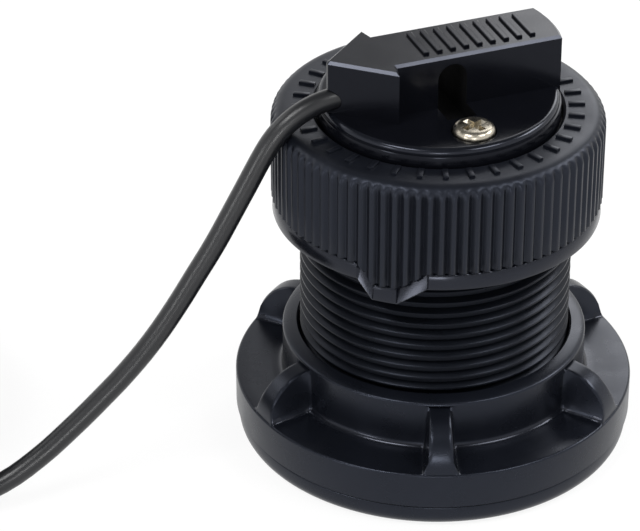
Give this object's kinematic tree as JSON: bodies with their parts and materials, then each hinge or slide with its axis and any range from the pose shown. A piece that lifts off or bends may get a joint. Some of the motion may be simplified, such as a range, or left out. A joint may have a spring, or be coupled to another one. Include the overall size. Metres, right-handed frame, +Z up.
{
  "type": "sonar transducer",
  "caption": "Thru-hull sonar transducer with a threaded flanged housing, ribbed hull nut, gripped cap nut, arrow-shaped pull handle and a cable that ends in a round locking plug.",
  "frame": {"origin": "centre of the base, on the outer face of the hull flange", "axes": "+Z up along the barrel, +X the way the arrow handle points"},
  "size_m": [0.2007, 0.1197, 0.0818],
  "materials": {
    "black_plastic": "satin moulded",
    "insert_plastic": "satin moulded",
    "stainless_steel": "turned",
    "seal_rubber": "smooth",
    "potting_resin": "cast",
    "piezo_ceramic": "silvered",
    "cork": "raw",
    "probe_brass": "turned",
    "board_laminate": "solder mask",
    "ferrite": "sintered",
    "chip_plastic": "moulded",
    "wire_sleeve": "extruded",
    "cable_jacket": "extruded satin",
    "tie_webbing": "woven",
    "nickel_plate": "nickel plated",
    "gold_plate": "gold plated"
  },
  "bodies": {
    "transducer": {"housing": "black_plastic", "insert_body": "insert_plastic", "handle": "black_plastic", "handle_screws": "stainless_steel", "handle_seal": "seal_rubber", "lower_o_ring": "seal_rubber", "upper_o_ring": "seal_rubber", "acoustic_window": "potting_resin", "piezo_disc": "piezo_ceramic", "element_sleeve": "cork", "backing_disc": "cork", "temperature_probe": "probe_brass", "potting_plug": "potting_resin", "circuit_board": "board_laminate", "matching_transformer": "ferrite", "board_parts": "chip_plastic", "element_leads": "wire_sleeve", "probe_leads": "wire_sleeve", "cable_conductors": "wire_sleeve", "cable_gland": "seal_rubber", "cable": "cable_jacket", "cable_coil": "cable_jacket", "coil_ties": "tie_webbing", "cable_tail": "cable_jacket", "connector_body": "insert_plastic", "connector_insert": "insert_plastic", "connector_pins": "gold_plate"},
    "hull_nut": {"hull_nut": "black_plastic"},
    "cap_nut": {"cap_nut": "black_plastic"},
    "connector_nut": {"connector_nut": "nickel_plate"}
  },
  "joints": [
    {"name": "hull_nut_climb", "type": "slide", "parent": "transducer", "child": "hull_nut", "axis": [0, 0, 1], "range_m": [0, 0.02]},
    {"name": "cap_nut_turn", "type": "hinge", "parent": "transducer", "child": "cap_nut", "pos_m": [0, 0, 0.058], "axis": [0, 0, 1], "continuous": true},
    {"name": "connector_nut_turn", "type": "hinge", "parent": "transducer", "child": "connector_nut", "pos_m": [0.152, -0.07, 0.03305], "axis": [0, -1, 0], "continuous": true}
  ]
}
